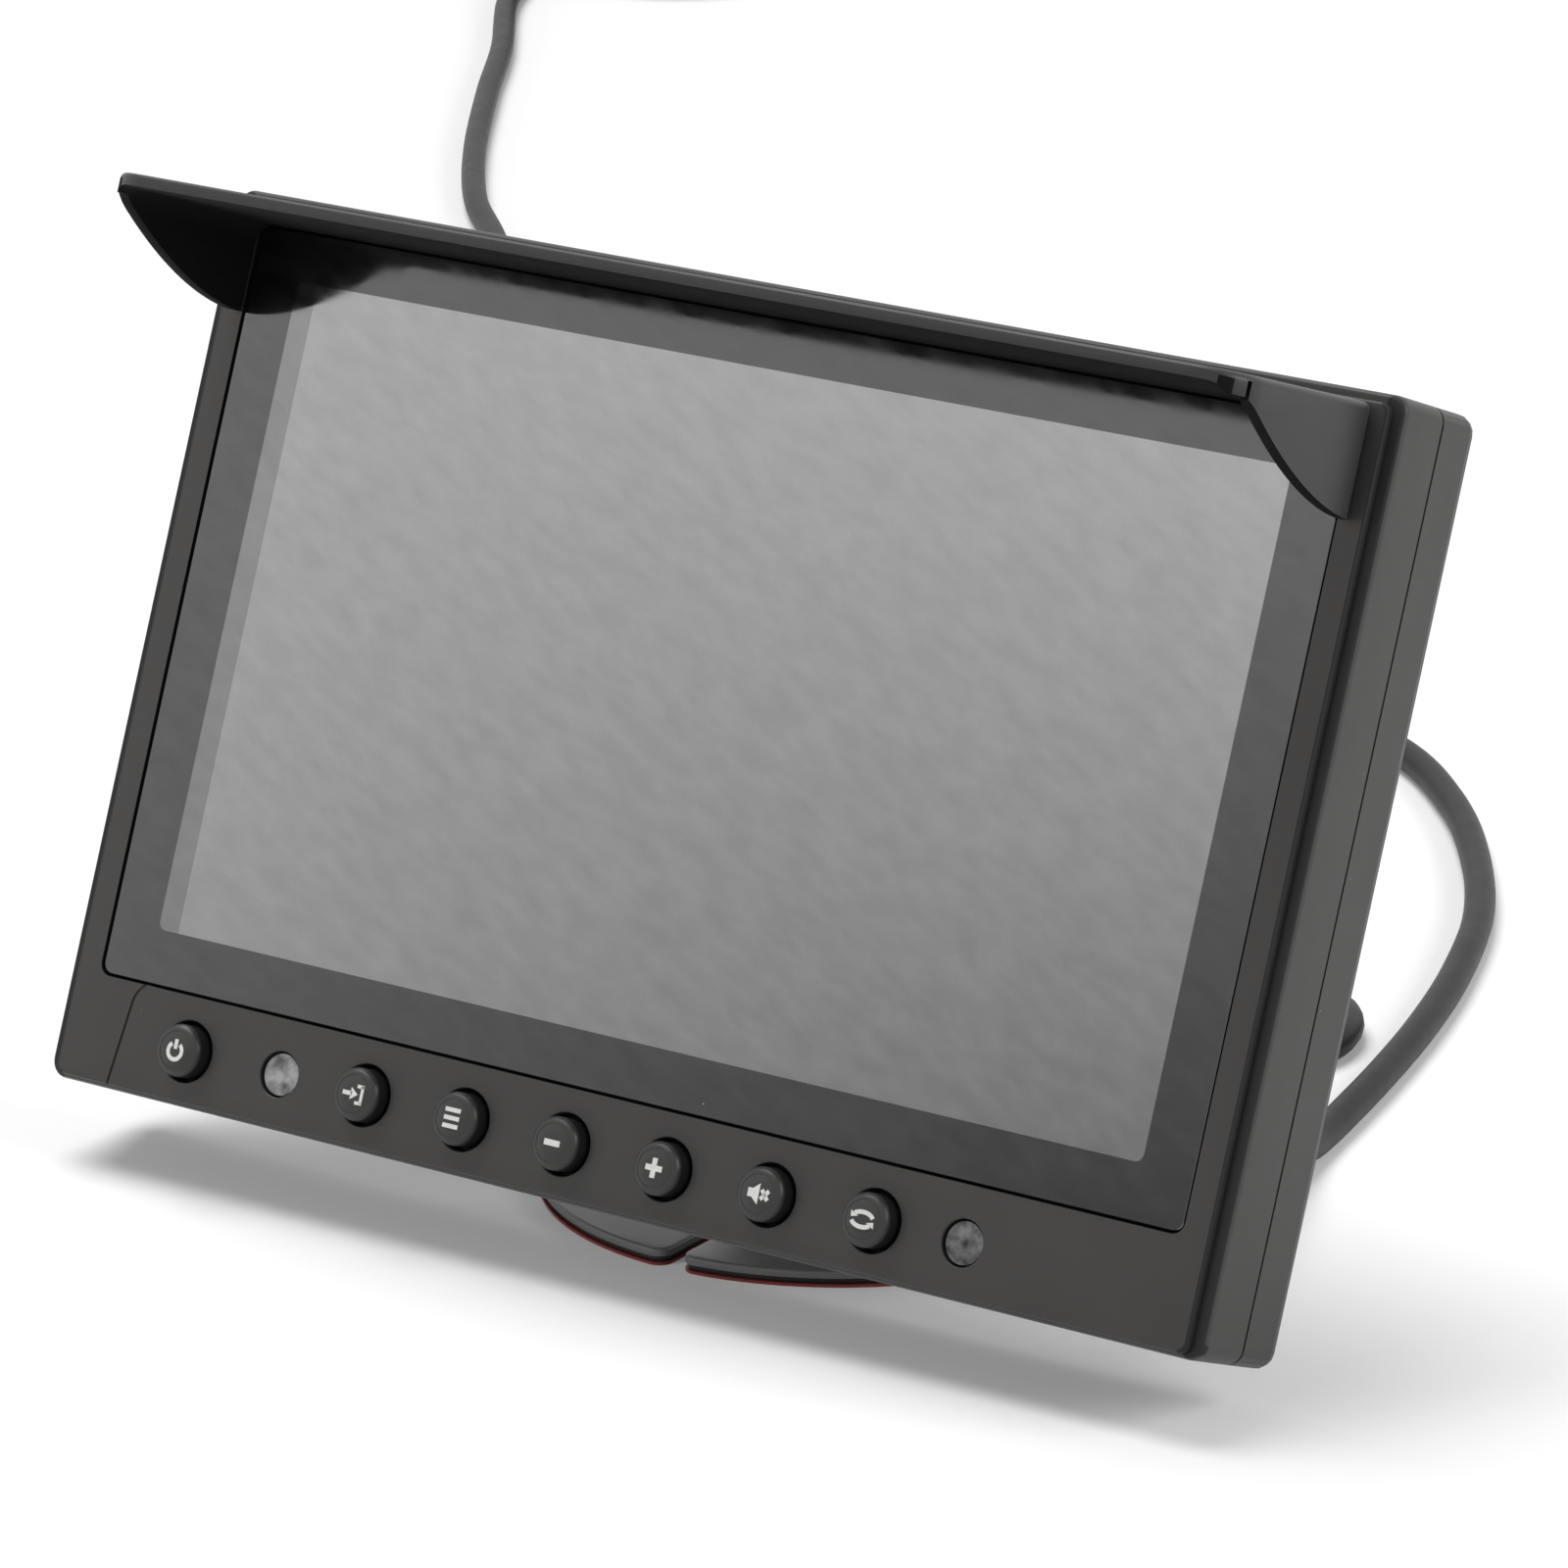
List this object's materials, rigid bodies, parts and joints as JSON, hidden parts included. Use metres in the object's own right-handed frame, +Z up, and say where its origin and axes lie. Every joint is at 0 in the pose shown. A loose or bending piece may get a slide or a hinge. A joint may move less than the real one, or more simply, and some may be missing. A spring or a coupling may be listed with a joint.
{
  "type": "rear-view monitor",
  "caption": "Flat rear-view monitor with a clip-on sun visor and a row of push buttons, tilting on a stick-on petal foot, with a coiled cable and its plug.",
  "frame": {"origin": "centre of the foot's underside", "axes": "+Z up from the surface it is stuck to, screen facing -Y, +X to the viewer's right"},
  "size_m": [0.5717, 0.6867, 0.1333],
  "materials": {
    "housing_plastic": "fine-textured dark grey plastic",
    "glass": "clear cover glass with a dark printed border",
    "display": "grey unlit display",
    "tray_steel": "plain pressed steel",
    "circuit_board": "green solder mask",
    "chip": "black moulding compound",
    "ferrite": "dark grey ferrite",
    "header_plastic": "natural nylon",
    "key_rubber": "black moulded keys",
    "switch_plastic": "black plastic",
    "sensor_window": "smoked clear plastic",
    "visor_plastic": "black plastic",
    "stand_plastic": "dark grey plastic",
    "adhesive_foam": "black adhesive foam",
    "liner_film": "dull red release film",
    "screw_steel": "zinc-plated steel",
    "cable_rubber": "black cable sheath",
    "tie_nylon": "black nylon band",
    "plug_plastic": "black moulded plug"
  },
  "bodies": {
    "foot": {"base_foot": "stand_plastic", "adhesive_pad": "adhesive_foam", "release_liner": "liner_film", "pivot_bolt": "screw_steel", "pivot_washer": "screw_steel", "cable_riser": "cable_rubber", "cable_run": "cable_rubber", "cable_coil": "cable_rubber", "coil_tie": "tie_nylon", "plug_boot": "cable_rubber", "plug_body": "plug_plastic"},
    "monitor": {"front_bezel": "housing_plastic", "cover_glass": "glass", "lcd_panel": "display", "lcd_tray": "tray_steel", "main_board": "circuit_board", "video_chip": "chip", "power_inductor": "ferrite", "cable_header": "header_plastic", "button_board": "circuit_board", "switch_power": "switch_plastic", "switch_source": "switch_plastic", "switch_menu": "switch_plastic", "switch_minus": "switch_plastic", "switch_plus": "switch_plastic", "switch_mute": "switch_plastic", "switch_rotate": "switch_plastic", "receiver_window": "sensor_window", "remote_receiver": "chip", "light_window": "sensor_window", "light_sensor": "chip", "speaker": "ferrite", "rear_shell": "housing_plastic", "housing_screw_1": "screw_steel", "housing_screw_2": "screw_steel", "housing_screw_3": "screw_steel", "housing_screw_4": "screw_steel", "tilt_arm": "stand_plastic", "arm_screw_1": "screw_steel", "arm_screw_2": "screw_steel", "arm_screw_3": "screw_steel", "arm_screw_4": "screw_steel", "cable_gland": "cable_rubber"},
    "visor": {"sun_visor": "visor_plastic"},
    "knob": {"tilt_knob": "stand_plastic"},
    "coupling_nut": {"plug_nut": "plug_plastic"},
    "power_button": {"button_power": "key_rubber"},
    "source_button": {"button_source": "key_rubber"},
    "menu_button": {"button_menu": "key_rubber"},
    "minus_button": {"button_minus": "key_rubber"},
    "plus_button": {"button_plus": "key_rubber"},
    "mute_button": {"button_mute": "key_rubber"},
    "rotate_button": {"button_rotate": "key_rubber"}
  },
  "joints": [
    {"name": "tilt", "type": "hinge", "parent": "foot", "child": "monitor", "pos_m": [0, 0, 0.04504], "axis": [1, 0, 0], "range_deg": [-45, 4], "deforming": ["cable_riser"]},
    {"name": "knob_turn", "type": "hinge", "parent": "foot", "child": "knob", "pos_m": [0, 0, 0.04504], "axis": [1, 0, 0], "range_deg": [0, 360]},
    {"name": "visor_pull", "type": "slide", "parent": "monitor", "child": "visor", "axis": [0, -0.9318, 0.3629], "range_m": [0, 0.012]},
    {"name": "nut_turn", "type": "hinge", "parent": "foot", "child": "coupling_nut", "pos_m": [-0.4313, 0.62084, 0.00835], "axis": [0.8841, 0.4673, 0], "continuous": true},
    {"name": "power_press", "type": "slide", "parent": "monitor", "child": "power_button", "axis": [0, 0.9318, -0.3629], "range_m": [0, 0.0005], "stiffness_N_per_m": 1500},
    {"name": "source_press", "type": "slide", "parent": "monitor", "child": "source_button", "axis": [0, 0.9318, -0.3629], "range_m": [0, 0.0005], "stiffness_N_per_m": 1500},
    {"name": "menu_press", "type": "slide", "parent": "monitor", "child": "menu_button", "axis": [0, 0.9318, -0.3629], "range_m": [0, 0.0005], "stiffness_N_per_m": 1500},
    {"name": "minus_press", "type": "slide", "parent": "monitor", "child": "minus_button", "axis": [0, 0.9318, -0.3629], "range_m": [0, 0.0005], "stiffness_N_per_m": 1500},
    {"name": "plus_press", "type": "slide", "parent": "monitor", "child": "plus_button", "axis": [0, 0.9318, -0.3629], "range_m": [0, 0.0005], "stiffness_N_per_m": 1500},
    {"name": "mute_press", "type": "slide", "parent": "monitor", "child": "mute_button", "axis": [0, 0.9318, -0.3629], "range_m": [0, 0.0005], "stiffness_N_per_m": 1500},
    {"name": "rotate_press", "type": "slide", "parent": "monitor", "child": "rotate_button", "axis": [0, 0.9318, -0.3629], "range_m": [0, 0.0005], "stiffness_N_per_m": 1500}
  ]
}
